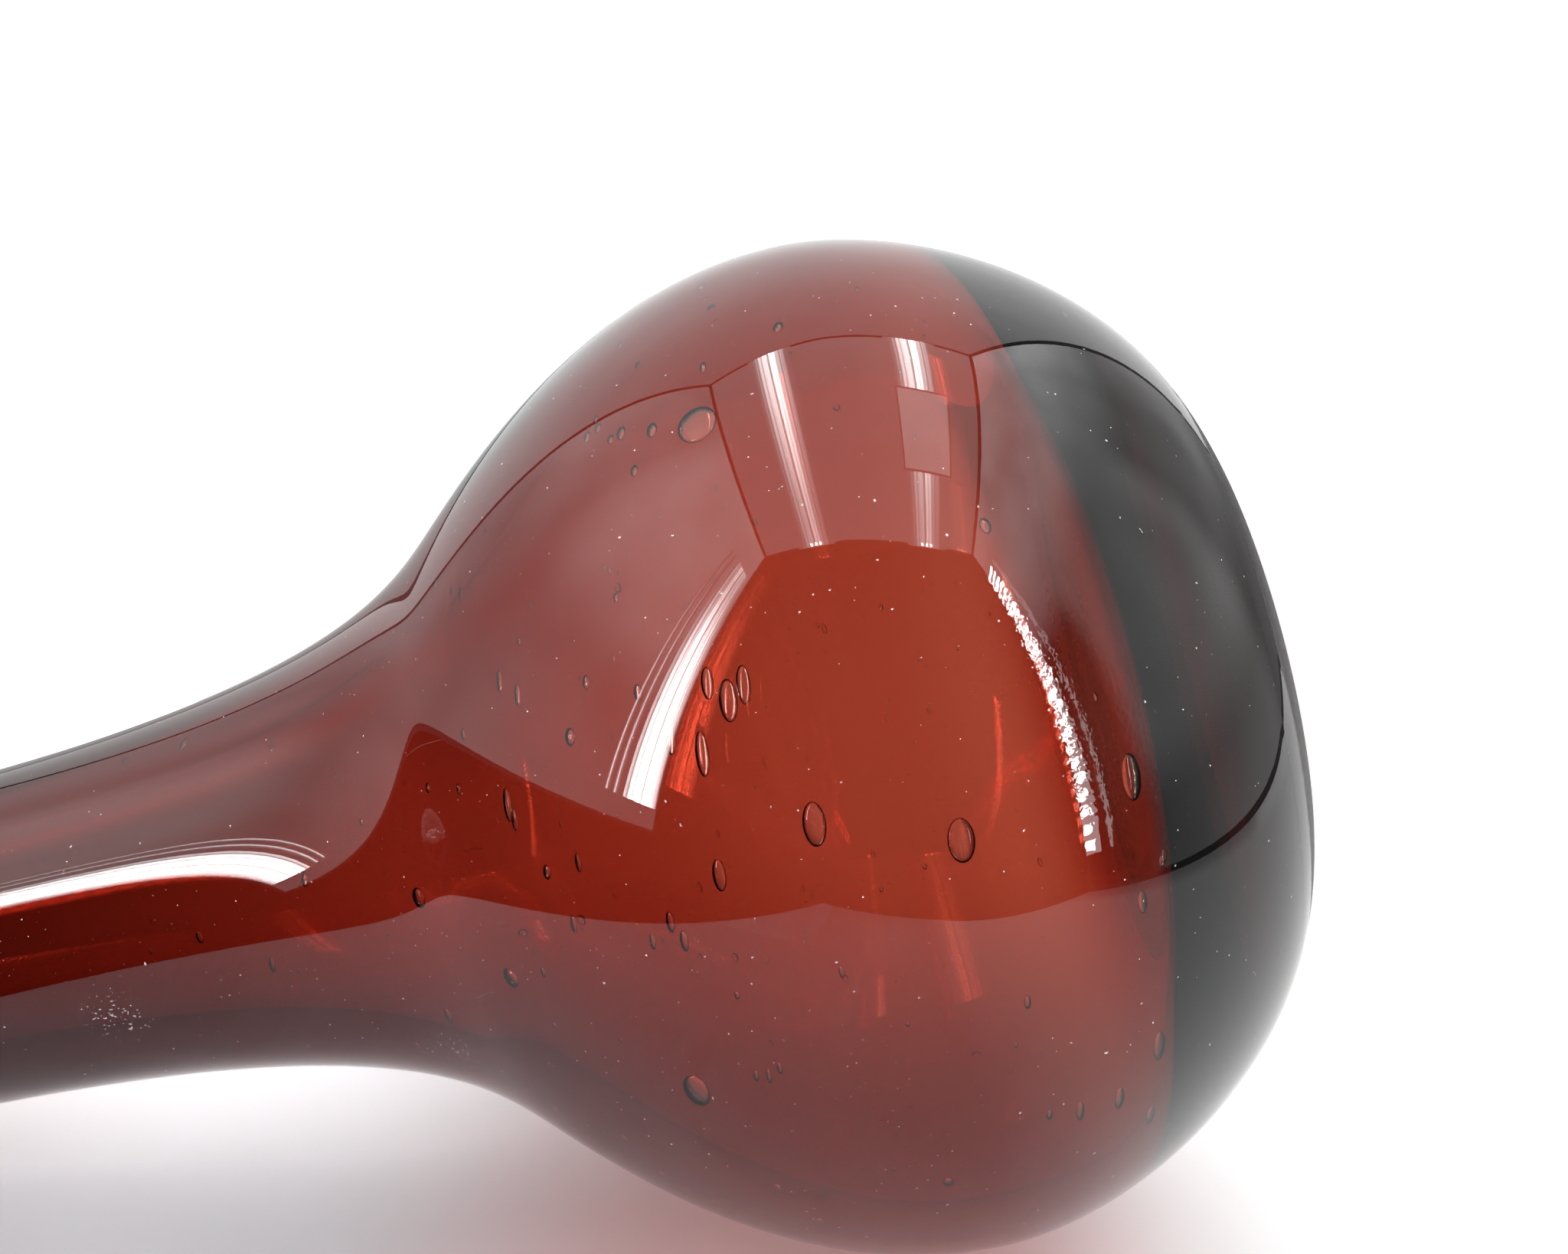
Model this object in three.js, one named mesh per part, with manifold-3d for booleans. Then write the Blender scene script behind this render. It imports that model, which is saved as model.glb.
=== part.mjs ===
// Bubble glass vase: a free-blown bottle vase, a round bulb drawn out into a long slim neck.
// Two gathers of red-brown glass lie one over the other with air bubbles trapped between them.
// A pressed foot closes the bottom and a fire-polished bead closes the lip.
// Millimetres, +Z up the vase's axis, origin at the centre of the ring that it stands on.

import * as THREE from 'three';
import { mergeVertices } from 'three/addons/utils/BufferGeometryUtils.js';
import Module from 'manifold-3d';

const wasm = await Module();
wasm.setup();

// Outside of the vase
const HEIGHT = 180;
const BELLY_RADIUS = 55;
const BELLY_HEIGHT = 38;
const SHOULDER_RADIUS = 34.7; // where the bulb's curve hands over to the neck's
const SHOULDER_HEIGHT = 80.4;
const SHOULDER_SLOPE = THREE.MathUtils.degToRad(42); // of the wall there, from the axis
const WAIST_RADIUS = 18.2; // the neck at its slimmest
const FLARE_HEIGHT = 19; // from the waist up to the lip's edge
const LIP_RADIUS = 20.5;

// Foot, the lowest slice of the bulb
const FOOT_HEIGHT = 3.7;
const STAND_RADIUS = 29; // outer edge of the flat standing ring
const HEEL_RADIUS = 30.5; // where the ring's rounded edge runs into the bulb
const HEEL_RISE = 0.1;
const KICK_RADIUS = 18; // hollow ground out of the middle of the foot
const KICK_DEPTH = 1.5;

// Glass
const BASE_THICKNESS = 7.5; // from the floor up to the bottom of the hollow
const BELLY_WALL = 5;
const SHOULDER_WALL = 6;
const NECK_WALL = 7;
const LIP_WALL = 4.6;
const LIP_HEIGHT = 3; // of the fire-polished bead
const CASING_SHARE = 0.5; // how deep in the wall the two gathers meet
const SEAM = 0.3; // clearance between two gathers

// Roundness of the curves: each handle as a share of its stretch
const HEEL_ANGLE = THREE.MathUtils.degToRad(20); // rise of the bulb as it leaves the ring
const STAND_HANDLE = 0.4;
const EDGE_HANDLE = 0.2;
const HEEL_HANDLE = 0.64;
const UNDER_BELLY_HANDLE = 0.36;
const OVER_BELLY_HANDLE = 0.47;
const SHOULDER_HANDLE = 0.23;
const NECK_FOOT_HANDLE = 0.13;
const NECK_TOP_HANDLE = 0.77;
const FLARE_HANDLE = 0.5;
const HOLLOW_FLOOR_HANDLE = 0.85;
const HOLLOW_SIDE_HANDLE = 0.6;

// Bubbles: flattened ovals, drawn out round the vase as the glass was turned
const BUBBLE_COUNT = 40;
const BUBBLE_HALF_LENGTH = 2.1; // of the largest
const BUBBLE_HALF_WIDTH = 0.95;
const BUBBLE_HALF_DEPTH = 0.7;
const SMALLEST_BUBBLE = 0.5; // as a share of the largest
const LOWEST_BUBBLE = 0.3; // as shares of the way from the bottom up to the lip
const HIGHEST_BUBBLE = 0.95;
const GOLDEN_ANGLE = Math.PI * (3 - Math.sqrt(5));
const SIZE_STRIDE = 7; // takes the sizes in a mixed order
const SIZE_STEPS = 11;

// Fineness of the mesh
const SIDES = 36;
const BULB_STEPS = 8;
const NECK_STEPS = 7;
const FLARE_STEPS = 3;
const ROUND_STEPS = 6;
const EDGE_STEPS = 2;
const BUBBLE_SIDES = 7;
const BUBBLE_RINGS = 5;

const WAIST_HEIGHT = HEIGHT - FLARE_HEIGHT;
const BEAD_FLOOR = HEIGHT - LIP_HEIGHT;
const GATHER_TOP = BEAD_FLOOR - SEAM;
const GATHER_FLOOR = FOOT_HEIGHT + SEAM;

const UP = [0, 0, 1];
const DOWN = [0, 0, -1];

const point = (radius, height) => new THREE.Vector2(radius, height);

// A curve between two points with a handle at each end
function arc(start, startHandle, endHandle, end) {
  return new THREE.CubicBezierCurve(
    start, start.clone().add(startHandle), end.clone().add(endHandle), end);
}

// The points along a chain of [curve, steps] stretches
function trace(stretches) {
  const points = [stretches[0][0].getPoint(0)];
  for (const [curve, steps] of stretches) points.push(...curve.getPoints(steps).slice(1));
  return points;
}

// The upper part of every skin of the wall, from the belly up to the lip.
// Depth is how far each place lies in from the outside.
function upperStretches(depth) {
  const belly = point(BELLY_RADIUS - depth.belly, BELLY_HEIGHT);
  const shoulder = point(
    SHOULDER_RADIUS - depth.shoulder * Math.cos(SHOULDER_SLOPE),
    SHOULDER_HEIGHT - depth.shoulder * Math.sin(SHOULDER_SLOPE));
  const waist = point(WAIST_RADIUS - depth.neck, WAIST_HEIGHT);
  const lip = point(LIP_RADIUS - depth.lip, GATHER_TOP);
  const slope = point(-Math.sin(SHOULDER_SLOPE), Math.cos(SHOULDER_SLOPE));
  const rise = shoulder.y - belly.y;
  const neck = waist.y - shoulder.y;
  const flare = lip.y - waist.y;
  return [
    [arc(belly, point(0, OVER_BELLY_HANDLE * rise),
      slope.clone().multiplyScalar(-SHOULDER_HANDLE * rise), shoulder), BULB_STEPS],
    [arc(shoulder, slope.clone().multiplyScalar(NECK_FOOT_HANDLE * neck),
      point(0, -NECK_TOP_HANDLE * neck), waist), NECK_STEPS],
    [arc(waist, point(0, FLARE_HANDLE * flare),
      point((waist.x - lip.x) * FLARE_HANDLE, -FLARE_HANDLE * flare), lip), FLARE_STEPS],
  ];
}

// The outside of the vase, from the ring that it stands on up to the lip
function outsideSkin() {
  const stand = point(STAND_RADIUS, 0);
  const heel = point(HEEL_RADIUS, HEEL_RISE);
  const belly = point(BELLY_RADIUS, BELLY_HEIGHT);
  const slope = point(Math.cos(HEEL_ANGLE), Math.sin(HEEL_ANGLE));
  const edge = heel.x - stand.x;
  const reach = belly.x - heel.x;
  const rise = belly.y - heel.y;
  return trace([
    [arc(stand, point(STAND_HANDLE * edge, 0),
      slope.clone().multiplyScalar(-EDGE_HANDLE * edge), heel), EDGE_STEPS],
    [arc(heel, slope.clone().multiplyScalar(HEEL_HANDLE * reach),
      point(0, -UNDER_BELLY_HANDLE * rise), belly), BULB_STEPS],
    ...upperStretches({ belly: 0, shoulder: 0, neck: 0, lip: 0 }),
  ]);
}

// A skin inside the wall, from its floor on the axis up to the lip.
// Share is its depth in the wall, 1 at the hollow, and shift moves it further in.
function innerSkin(share, shift) {
  const depth = {
    belly: share * BELLY_WALL + shift,
    shoulder: share * SHOULDER_WALL + shift,
    neck: share * NECK_WALL + shift,
    lip: share * LIP_WALL + shift,
  };
  const floor = point(0, FOOT_HEIGHT + share * (BASE_THICKNESS - FOOT_HEIGHT) + shift);
  const belly = point(BELLY_RADIUS - depth.belly, BELLY_HEIGHT);
  const bowl = arc(floor, point(HOLLOW_FLOOR_HANDLE * belly.x, 0),
    point(0, -HOLLOW_SIDE_HANDLE * (belly.y - floor.y)), belly);
  return trace([[bowl, BULB_STEPS], ...upperStretches(depth)]);
}

// The closed solid that a profile sweeps round the axis
function turned(profile) {
  const geometry = new THREE.LatheGeometry(profile, SIDES);
  geometry.rotateX(Math.PI / 2);
  return toSolid(geometry);
}

// A mesh whose shared corners are merged and whose pinched faces are dropped, as a solid
function toSolid(geometry) {
  geometry.deleteAttribute('normal');
  geometry.deleteAttribute('uv');
  const merged = mergeVertices(geometry);
  const corners = merged.index.array;
  const faces = [];
  for (let i = 0; i < corners.length; i += 3) {
    const [a, b, c] = corners.subarray(i, i + 3);
    if (a !== b && b !== c && c !== a) faces.push(a, b, c);
  }
  return new wasm.Manifold(new wasm.Mesh({
    numProp: 3,
    vertProperties: new Float32Array(merged.attributes.position.array),
    triVerts: new Uint32Array(faces),
  }));
}

// The bubbles between the gathers, spread by the golden angle from the bulb up into the neck
function makeBubbles() {
  const skin = new THREE.SplineCurve(innerSkin(CASING_SHARE, 0));
  const bubbles = [];
  for (let i = 0; i < BUBBLE_COUNT; i += 1) {
    const way = THREE.MathUtils.lerp(LOWEST_BUBBLE, HIGHEST_BUBBLE, i / (BUBBLE_COUNT - 1));
    const size = THREE.MathUtils.lerp(
      SMALLEST_BUBBLE, 1, ((i * SIZE_STRIDE) % SIZE_STEPS) / (SIZE_STEPS - 1));
    const place = skin.getPointAt(way);
    const along = skin.getTangentAt(way);
    const round = new THREE.Vector3(0, 1, 0);
    const up = new THREE.Vector3(along.x, 0, along.y);
    const out = new THREE.Vector3().crossVectors(round, up);
    const shape = new THREE.Matrix4().makeBasis(
      round.multiplyScalar(size * BUBBLE_HALF_LENGTH),
      up.multiplyScalar(size * BUBBLE_HALF_WIDTH),
      out.multiplyScalar(size * BUBBLE_HALF_DEPTH));
    shape.setPosition(place.x, 0, place.y);
    const turn = new THREE.Matrix4().makeRotationZ(i * GOLDEN_ANGLE);
    const ball = new THREE.SphereGeometry(1, BUBBLE_SIDES, BUBBLE_RINGS);
    bubbles.push(toSolid(ball.applyMatrix4(turn.multiply(shape))));
  }
  return bubbles;
}

// The vase without its hollows, up to where the lip's bead lies
function makeBody() {
  return turned([point(0, 0), ...outsideSkin(), point(0, GATHER_TOP)]);
}

function makeOuterGather() {
  const casing = innerSkin(CASING_SHARE, -SEAM / 2);
  const room = turned([...casing, point(casing.at(-1).x, HEIGHT), point(0, HEIGHT)]);
  return makeBody().trimByPlane(UP, GATHER_FLOOR).subtract(room);
}

function makeInnerGather() {
  const casing = innerSkin(CASING_SHARE, SEAM / 2);
  const hollow = innerSkin(1, 0);
  return turned([...casing, ...hollow.reverse()]);
}

function makeFootPad() {
  const kick = arc(point(KICK_RADIUS, 0), point(-KICK_RADIUS / 4, 0),
    point(KICK_RADIUS / 2, 0), point(0, KICK_DEPTH));
  const ground = turned([point(0, -KICK_DEPTH), point(KICK_RADIUS, -KICK_DEPTH),
    ...kick.getPoints(ROUND_STEPS)]);
  return makeBody().trimByPlane(DOWN, -FOOT_HEIGHT).subtract(ground);
}

function makeLipBead() {
  const inside = point(LIP_RADIUS - LIP_WALL, BEAD_FLOOR);
  const outside = point(LIP_RADIUS, BEAD_FLOOR);
  const crown = new THREE.EllipseCurve(
    LIP_RADIUS - LIP_WALL / 2, HEIGHT - LIP_WALL / 2, LIP_WALL / 2, LIP_WALL / 2, 0, Math.PI);
  return turned([inside, outside, ...crown.getPoints(ROUND_STEPS), inside]);
}

// A solid as a named mesh with its own finish
function named(name, solid, finish) {
  const { vertProperties, triVerts } = solid.getMesh();
  const geometry = new THREE.BufferGeometry();
  geometry.setAttribute('position', new THREE.BufferAttribute(vertProperties, 3));
  geometry.setIndex(new THREE.BufferAttribute(triVerts, 1));
  geometry.computeVertexNormals();
  const mesh = new THREE.Mesh(geometry, new THREE.MeshStandardMaterial(finish));
  mesh.name = name;
  return mesh;
}

const DEEP_RED = { color: 0x7a2418, roughness: 0.04, metalness: 0, transparent: true, opacity: 0.7 };
const CLEAR_RED = { color: 0xa03c2a, roughness: 0.05, metalness: 0, transparent: true, opacity: 0.6 };
const GROUND_RED = { color: 0x6a2a22, roughness: 0.25, metalness: 0, transparent: true, opacity: 0.8 };

const bubbles = wasm.Manifold.union(makeBubbles());

const vase = new THREE.Group();
vase.name = 'bubble_glass_vase';
vase.add(named('inner_gather', makeInnerGather().subtract(bubbles), DEEP_RED));
vase.add(named('outer_gather', makeOuterGather().subtract(bubbles), CLEAR_RED));
vase.add(named('foot_pad', makeFootPad(), GROUND_RED));
vase.add(named('lip_bead', makeLipBead(), CLEAR_RED));

export default vase;
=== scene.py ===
"""Looks of the bubble glass vase: a free-blown bottle vase of red-brown glass.

The vase is four masses of glass that are melted together: an inner gather, an outer gather with
the air bubbles in it, a foot and a lip. Each is a closed piece of its own, and the faces where two
of them meet let light through unbent, so that the wall looks like the one piece of glass it is.
The stage is the cube of lit white cloth that the vase is photographed in.
"""

import logging
import math
import random
from collections.abc import Sequence
from dataclasses import dataclass, field, replace
from enum import Enum
from typing import Any

import bmesh
import bpy
from mathutils import Matrix, Vector
from mathutils.geometry import interpolate_bezier


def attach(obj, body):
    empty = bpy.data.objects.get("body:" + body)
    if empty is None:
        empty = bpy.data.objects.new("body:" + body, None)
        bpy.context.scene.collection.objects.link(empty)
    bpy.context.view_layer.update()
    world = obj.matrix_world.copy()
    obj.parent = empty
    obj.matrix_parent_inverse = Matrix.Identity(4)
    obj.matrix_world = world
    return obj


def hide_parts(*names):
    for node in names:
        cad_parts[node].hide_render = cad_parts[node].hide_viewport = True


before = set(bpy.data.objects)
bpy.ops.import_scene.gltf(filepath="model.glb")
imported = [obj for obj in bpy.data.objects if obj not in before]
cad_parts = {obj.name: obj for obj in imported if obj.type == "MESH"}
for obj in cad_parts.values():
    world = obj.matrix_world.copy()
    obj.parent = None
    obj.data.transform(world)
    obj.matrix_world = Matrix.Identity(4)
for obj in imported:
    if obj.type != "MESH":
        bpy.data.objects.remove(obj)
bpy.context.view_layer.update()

Triple = tuple[float, float, float]
Colour = Triple

MM = 0.001
LOG = logging.getLogger("vase")

# Places on the outside that are scuffed, and the middle of the one with the orange peel
SCUFFED = (Vector((-0.0154, -0.0131, 0.1218)), Vector((-0.0280, -0.0152, 0.0878)),
           Vector((0.0432, -0.0335, 0.0377)))
PEBBLED = Vector((-0.0145, -0.0460, 0.0207))

# Waves in a metre of the noise for each relief, each kind of wear and the cloth
RIPPLE_SCALE = 38
LINE_SCALE = 900
PEBBLE_SCALE = 2200
SCRATCH_SCALE = 4500
DUST_SCALE = 2600
GRAIN_SCALE = 1800
CLOTH_SCALE = 5


class Slot(Enum):
    """The record's material slots."""

    INNER = "inner_glass"
    CASING = "casing_glass"
    FOOT = "foot_glass"
    LIP = "lip_glass"


class Surface(Enum):
    """What a face of a piece of glass is, as the value of its "joint" attribute."""

    GLASS = 0.0
    JOINT = 1.0


class Ray(Enum):
    """The rays that a panel of the stage can show to."""

    CAMERA = "camera"
    DIFFUSE = "diffuse"
    GLOSSY = "glossy"
    TRANSMISSION = "transmission"


# --- Materials ---------------------------------------------------------------------------------


class Reading:
    """A number that a node gives. Python's operators reckon with it by adding Math nodes."""

    def __init__(self, bench: "Bench", socket: bpy.types.NodeSocket) -> None:
        """Wraps a socket.

        Args:
            bench: The node tree that the socket belongs to.
            socket: The output that gives the number.
        """
        self.bench = bench
        self.socket = socket

    def _maths(self, operation: str, *terms: "Reading | float") -> "Reading":
        """Adds a Math node on the terms in their order."""
        node = self.bench.node("ShaderNodeMath", {"operation": operation}, dict(enumerate(terms)))
        return Reading(self.bench, node.outputs[0])

    def __add__(self, other: "Reading | float") -> "Reading":
        """This plus other."""
        return self._maths("ADD", self, other)

    def __radd__(self, other: float) -> "Reading":
        """Other plus this."""
        return self._maths("ADD", other, self)

    def __sub__(self, other: "Reading | float") -> "Reading":
        """This less other."""
        return self._maths("SUBTRACT", self, other)

    def __rsub__(self, other: float) -> "Reading":
        """Other less this."""
        return self._maths("SUBTRACT", other, self)

    def __mul__(self, other: "Reading | float") -> "Reading":
        """This times other."""
        return self._maths("MULTIPLY", self, other)

    def __rmul__(self, other: float) -> "Reading":
        """Other times this."""
        return self._maths("MULTIPLY", other, self)

    def fade(self, start: float, end: float) -> "Reading":
        """0 up to start and 1 from end on, with a smooth step between them.

        Args:
            start: The value where the step starts.
            end: The value where it ends, which may lie below start.

        Returns:
            The step.
        """
        low, high = min(start, end), max(start, end)
        node = self.bench.node(
            "ShaderNodeMapRange", {"interpolation_type": "SMOOTHSTEP"},
            {"Value": self, "From Min": low, "From Max": high})
        step = Reading(self.bench, node.outputs["Result"])
        return step if start < end else 1 - step


class Bench:
    """The node tree of a material, where nodes are added and joined."""

    def __init__(self, tree: bpy.types.NodeTree) -> None:
        """Takes a tree and empties it."""
        self.tree = tree
        tree.nodes.clear()

    def node(self, kind: str, settings: dict[str, Any] | None = None,
             inputs: dict[str | int, Any] | None = None) -> bpy.types.Node:
        """Adds a node.

        Args:
            kind: The node's type.
            settings: Its own properties, which are set first.
            inputs: Values, readings or sockets for its inputs, by name or number.

        Returns:
            The node.
        """
        made = self.tree.nodes.new(kind)
        for name, value in (settings or {}).items():
            setattr(made, name, value)
        for name, value in (inputs or {}).items():
            if isinstance(value, Reading):
                value = value.socket
            if isinstance(value, bpy.types.NodeSocket):
                self.tree.links.new(value, made.inputs[name])
            else:
                made.inputs[name].default_value = value
        return made

    def place(self) -> bpy.types.NodeSocket:
        """The place on the piece, in metres in the row frame."""
        return self.node("ShaderNodeTexCoord").outputs["Object"]

    def height(self) -> Reading:
        """How far up the vase a place is, in metres."""
        split = self.node("ShaderNodeSeparateXYZ", {}, {0: self.place()})
        return Reading(self, split.outputs["Z"])

    def along(self, origin: Vector, axis: Vector) -> Reading:
        """How far a place lies from an origin along an axis.

        Args:
            origin: The origin.
            axis: The axis, of length 1.

        Returns:
            The distance in metres.
        """
        away = self.node("ShaderNodeVectorMath", {"operation": "SUBTRACT"},
                         {0: self.place(), 1: origin})
        dot = self.node("ShaderNodeVectorMath", {"operation": "DOT_PRODUCT"},
                        {0: away.outputs[0], 1: axis})
        return Reading(self, dot.outputs["Value"])

    def near(self, centre: Vector, start: float, end: float) -> Reading:
        """A patch that fades in towards a point.

        Args:
            centre: The point.
            start: The distance from it where the patch starts.
            end: The distance where it is full.

        Returns:
            The patch, 1 at the point.
        """
        away = self.node("ShaderNodeVectorMath", {"operation": "DISTANCE"},
                         {0: self.place(), 1: centre})
        return Reading(self, away.outputs["Value"]).fade(start, end)

    def noise(self, scale: float, detail: float, stretch: Triple = (1, 1, 1),
              turn: Triple = (0, 0, 0)) -> Reading:
        """Smooth noise on the place.

        Args:
            scale: Waves in a metre.
            detail: Octaves of finer waves.
            stretch: Scale along x, y and z before the noise.
            turn: Turn about x, y and z before the noise.

        Returns:
            The noise, round 0.5.
        """
        mapped = self.node("ShaderNodeMapping", {},
                           {"Vector": self.place(), "Scale": stretch, "Rotation": turn})
        node = self.node("ShaderNodeTexNoise", {}, {
            "Vector": mapped.outputs[0], "Scale": scale, "Detail": detail})
        return Reading(self, node.outputs[0])

    def streaks(self, across: Reading, scale: float) -> Reading:
        """Noise that varies along one reading only.

        Args:
            across: The reading.
            scale: Waves in a metre.

        Returns:
            The noise, round 0.5.
        """
        node = self.node("ShaderNodeTexNoise", {"noise_dimensions": "1D"},
                         {"W": across, "Scale": scale, "Detail": 3.0})
        return Reading(self, node.outputs[0])

    def blend(self, share: Reading, first: Colour | bpy.types.NodeSocket,
              second: Colour) -> bpy.types.NodeSocket:
        """Blends two colours.

        Args:
            share: The share of the second.
            first: The colour where share is 0.
            second: The colour where it is 1.

        Returns:
            The blend.
        """
        if isinstance(first, tuple):
            first = (*first, 1)
        node = self.node("ShaderNodeMix", {"data_type": "RGBA"},
                         {0: share, 6: first, 7: (*second, 1)})
        return node.outputs[2]

    def either(self, share: Reading | bpy.types.NodeSocket, first: bpy.types.Node,
               second: bpy.types.Node) -> bpy.types.Node:
        """The first shader where share is 0 and the second where it is 1."""
        return self.node("ShaderNodeMixShader", {}, {
            0: share, 1: first.outputs[0], 2: second.outputs[0]})

    def bump(self, height: Reading, depth: float,
             under: bpy.types.NodeSocket | None = None) -> bpy.types.NodeSocket:
        """Adds a Bump node.

        Args:
            height: The relief, 0 to 1.
            depth: Its depth in metres.
            under: The normal of the relief under it.

        Returns:
            The normal.
        """
        inputs = {"Height": height, "Distance": depth, "Strength": 1.0}
        if under:
            inputs["Normal"] = under
        return self.node("ShaderNodeBump", {}, inputs).outputs[0]

    def finish(self, surface: bpy.types.Node, volume: bpy.types.Node | None = None) -> None:
        """Joins the shaders to the output.

        Args:
            surface: The shader of the surface.
            volume: The shader of what lies behind it.
        """
        inputs = {"Surface": surface.outputs[0]}
        if volume:
            inputs["Volume"] = volume.outputs[0]
        self.node("ShaderNodeOutputMaterial", {}, inputs)


def new_material(name: str) -> tuple[bpy.types.Material, Bench]:
    """Makes an empty material.

    Args:
        name: Its name.

    Returns:
        The material and the bench for its nodes.
    """
    material = bpy.data.materials.new(name)
    material.use_nodes = True
    return material, Bench(material.node_tree)


@dataclass(frozen=True)
class RedGlass:
    """Transparent red-brown glass, coloured by how far light goes through it."""

    name: str
    absorption: Colour = (122.0, 330.0, 400.0)  # of red, green and blue, per metre
    refraction: float = 1.51
    roughness: float = 0.0
    ripple: float = 16e-6  # depth of the slow waves left by the blowing
    striae: float = 0.0  # depth of the fine lines drawn out along the vase
    pebbles: float = 0.0  # depth of the orange peel low on one side
    scuffs: float = 0.0  # how much fine scratches and dust dull the surface
    dust: Colour = (0.75, 0.72, 0.72)

    def _volume(self, bench: Bench) -> bpy.types.Node:
        """The glass behind the surface.

        Args:
            bench: The material's bench.

        Returns:
            The shader.
        """
        density = max(self.absorption) * 1.1  # over the highest, so that no share reaches 1
        colour = [1 - share / density for share in self.absorption]
        return bench.node("ShaderNodeVolumeAbsorption", {},
                          {"Color": (*colour, 1), "Density": density})

    def _relief(self, bench: Bench) -> bpy.types.NodeSocket:
        """The relief of a surface that was blown and turned by hand.

        Args:
            bench: The material's bench.

        Returns:
            The normal.
        """
        normal = bench.bump(bench.noise(RIPPLE_SCALE, 1.5), self.ripple)
        if self.striae:
            lines = bench.noise(LINE_SCALE, 1.0, stretch=(1, 1, 0.06))
            normal = bench.bump(lines, self.striae, normal)
        if self.pebbles:
            patch = bench.near(PEBBLED, 0.016, 0.006)
            normal = bench.bump(bench.noise(PEBBLE_SCALE, 1.0) * patch, self.pebbles, normal)
        return normal

    def _wear(self, bench: Bench) -> Reading:
        """Where fine scratches and dust lie.

        Args:
            bench: The material's bench.

        Returns:
            The share of the surface that they hide, 0 to 1.
        """
        places = sum(bench.near(place, 0.0045, 0.001) for place in SCUFFED)
        scratches = bench.noise(SCRATCH_SCALE, 1.0, stretch=(1, 0.2, 0.5), turn=(0.3, 0.5, 0.9))
        specks = bench.noise(DUST_SCALE, 0.0)
        return (scratches.fade(0.64, 0.70) * places + specks.fade(0.86, 0.88)) * self.scuffs

    def _clear(self, bench: Bench, roughness: Reading | float,
               normal: bpy.types.NodeSocket) -> bpy.types.Node:
        """The clean surface, which shows nothing where the piece is melted to the next one.

        Args:
            bench: The material's bench.
            roughness: How rough it is.
            normal: The normal of its relief.

        Returns:
            The shader.
        """
        joint = bench.node("ShaderNodeAttribute", {"attribute_name": "joint"})
        return bench.node("ShaderNodeBsdfPrincipled", {}, {
            "Base Color": (1, 1, 1, 1), "IOR": self.refraction, "Transmission Weight": 1.0,
            "Roughness": roughness, "Normal": normal,
            "Alpha": 1 - Reading(bench, joint.outputs["Fac"])})

    def _surface(self, bench: Bench) -> bpy.types.Node:
        """The surface with its wear.

        Args:
            bench: The material's bench.

        Returns:
            The shader.
        """
        clear = self._clear(bench, self.roughness, self._relief(bench))
        if not self.scuffs:
            return clear
        dull = bench.node("ShaderNodeBsdfDiffuse", {}, {"Color": (*self.dust, 1)})
        return bench.either(self._wear(bench), clear, dull)

    def make(self) -> bpy.types.Material:
        """Makes the material.

        Returns:
            The material.
        """
        material, bench = new_material(self.name)
        bench.finish(self._surface(bench), self._volume(bench))
        return material


@dataclass(frozen=True)
class GroundGlass(RedGlass):
    """Red glass whose lowest ring is worn matt by what it stands on."""

    worn_up_to: float = 2.4e-3
    fading: float = 0.6e-3  # height over which the wear fades out
    worn: float = 0.45  # roughness where it is worn
    pits: float = 40e-6  # depth of the grain there

    def _surface(self, bench: Bench) -> bpy.types.Node:
        """The surface, matt where the vase stands.

        Args:
            bench: The material's bench.

        Returns:
            The shader.
        """
        matt = bench.height().fade(self.worn_up_to, self.worn_up_to - self.fading)
        grain = bench.noise(GRAIN_SCALE, 3.0)
        roughness = (matt * (0.6 + 0.8 * grain)) * self.worn + self.roughness
        normal = bench.bump(grain * matt, self.pits, self._relief(bench))
        return self._clear(bench, roughness, normal)


@dataclass(frozen=True)
class TentAxes:
    """The tent's axes: x to the right, y up and z away from the camera, from the bulb's middle."""

    middle: Vector = field(default_factory=lambda: Vector((0, 0, 0.040)))
    right: Vector = field(default_factory=lambda: Vector((-0.1924, 0.1557, -0.9689)))
    up: Vector = field(default_factory=lambda: Vector((0.6853, -0.6853, -0.2462)))

    @property
    def away(self) -> Vector:
        """The axis away from the camera."""
        return -self.right.cross(self.up)

    @property
    def matrix(self) -> Matrix:
        """The transform from these axes to the row frame."""
        turn = Matrix((self.right, self.up, self.away)).transposed().to_4x4()
        return Matrix.Translation(self.middle) @ turn

    def side(self, bench: Bench) -> Reading:
        """How far to the right a place is, in metres."""
        return bench.along(self.middle, self.right)

    def height(self, bench: Bench) -> Reading:
        """How far up a place is, in metres."""
        return bench.along(self.middle, self.up)

    def depth(self, bench: Bench) -> Reading:
        """How far away from the camera a place is, in metres."""
        return bench.along(self.middle, self.away)


@dataclass(frozen=True)
class StageFinish:
    """A finish of the stage, which glows but isn't looked for as a lamp."""

    name: str

    def _surface(self, bench: Bench) -> bpy.types.Node:
        """The shader, which each finish makes in its own way."""
        raise NotImplementedError

    def make(self) -> bpy.types.Material:
        """Makes the material.

        Returns:
            The material.
        """
        material, bench = new_material(self.name)
        bench.finish(self._surface(bench))
        material.cycles.emission_sampling = "NONE"
        return material


@dataclass(frozen=True)
class GlowingCloth(StageFinish):
    """White cloth of the tent that the lamps light."""

    strength: float
    unevenness: float = 0.12

    def _glow(self, bench: Bench) -> Reading | float:
        """How bright the cloth is at a place.

        Args:
            bench: The material's bench.

        Returns:
            The brightness.
        """
        if not self.unevenness:
            return self.strength
        waves = 2 * (bench.noise(CLOTH_SCALE, 1.0) - 0.5)
        return self.strength * (1 + self.unevenness * waves)

    def _surface(self, bench: Bench) -> bpy.types.Node:
        """The shader of the cloth."""
        return bench.node("ShaderNodeEmission", {}, {
            "Color": (1, 1, 1, 1), "Strength": self._glow(bench)})


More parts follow.
